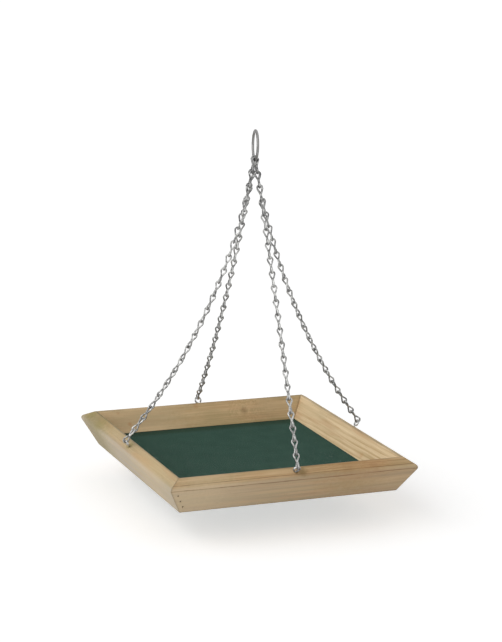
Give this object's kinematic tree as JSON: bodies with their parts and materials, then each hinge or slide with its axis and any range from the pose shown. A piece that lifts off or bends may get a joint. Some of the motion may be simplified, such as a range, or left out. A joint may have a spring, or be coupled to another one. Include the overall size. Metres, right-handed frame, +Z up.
{
  "type": "hanging bird table",
  "caption": "Square softwood feeding tray with splayed sides and a green mesh floor, hung by chains from a steel ring.",
  "frame": {"origin": "on the inside of the hanging ring at its top, where a hook bears", "axes": "+Z up; -Y is the front of the tray; +X is its right-hand side seen from the front"},
  "size_m": [0.2998, 0.2998, 0.3944],
  "materials": {
    "softwood": "planed softwood, unvarnished",
    "batten_wood": "sawn softwood",
    "green_mesh": "dark green woven mesh",
    "zinc_plate": "bright zinc plate on drawn wire",
    "ring_steel": "nickel plate on drawn wire",
    "brad_steel": "dull steel"
  },
  "bodies": {
    "ring": {"hanging_ring": "ring_steel"},
    "tray": {"front_rail": "softwood", "back_rail": "softwood", "left_rail": "softwood", "right_rail": "softwood", "mesh_floor": "green_mesh", "front_batten": "batten_wood", "back_batten": "batten_wood", "left_batten": "batten_wood", "right_batten": "batten_wood", "corner_brads": "brad_steel", "batten_pins": "brad_steel", "front_screw_eye": "zinc_plate", "back_screw_eye": "zinc_plate", "left_screw_eye": "zinc_plate", "right_screw_eye": "zinc_plate", "front_top_link": "zinc_plate", "back_top_link": "zinc_plate", "left_top_link": "zinc_plate", "right_top_link": "zinc_plate", "front_bottom_link": "zinc_plate", "back_bottom_link": "zinc_plate", "left_bottom_link": "zinc_plate", "right_bottom_link": "zinc_plate"},
    "front_leg": {"front_chain": "zinc_plate"},
    "back_leg": {"back_chain": "zinc_plate"},
    "left_leg": {"left_chain": "zinc_plate"},
    "right_leg": {"right_chain": "zinc_plate"}
  },
  "joints": [
    {"name": "tray_swing", "type": "hinge", "parent": "ring", "child": "tray", "pos_m": [0, 0, -0.03105], "axis": [0.2419, 0.9703, 0], "range_deg": [-30, 30]},
    {"name": "front_chain_sway", "type": "hinge", "parent": "tray", "child": "front_leg", "pos_m": [0.00048, -0.00783, -0.04471], "axis": [0.0041, -0.4064, -0.9137], "range_deg": [-20, 20]},
    {"name": "back_chain_sway", "type": "hinge", "parent": "tray", "child": "back_leg", "pos_m": [0.00023, 0.00758, -0.04482], "axis": [-0.004, 0.4064, -0.9137], "range_deg": [-20, 20]},
    {"name": "left_chain_sway", "type": "hinge", "parent": "tray", "child": "left_leg", "pos_m": [-0.00335, -0.00256, -0.04557], "axis": [-0.4195, 0.0038, -0.9077], "range_deg": [-20, 20]},
    {"name": "right_chain_sway", "type": "hinge", "parent": "tray", "child": "right_leg", "pos_m": [0.0032, 0.00062, -0.04564], "axis": [0.4195, -0.004, -0.9077], "range_deg": [-20, 20]}
  ]
}
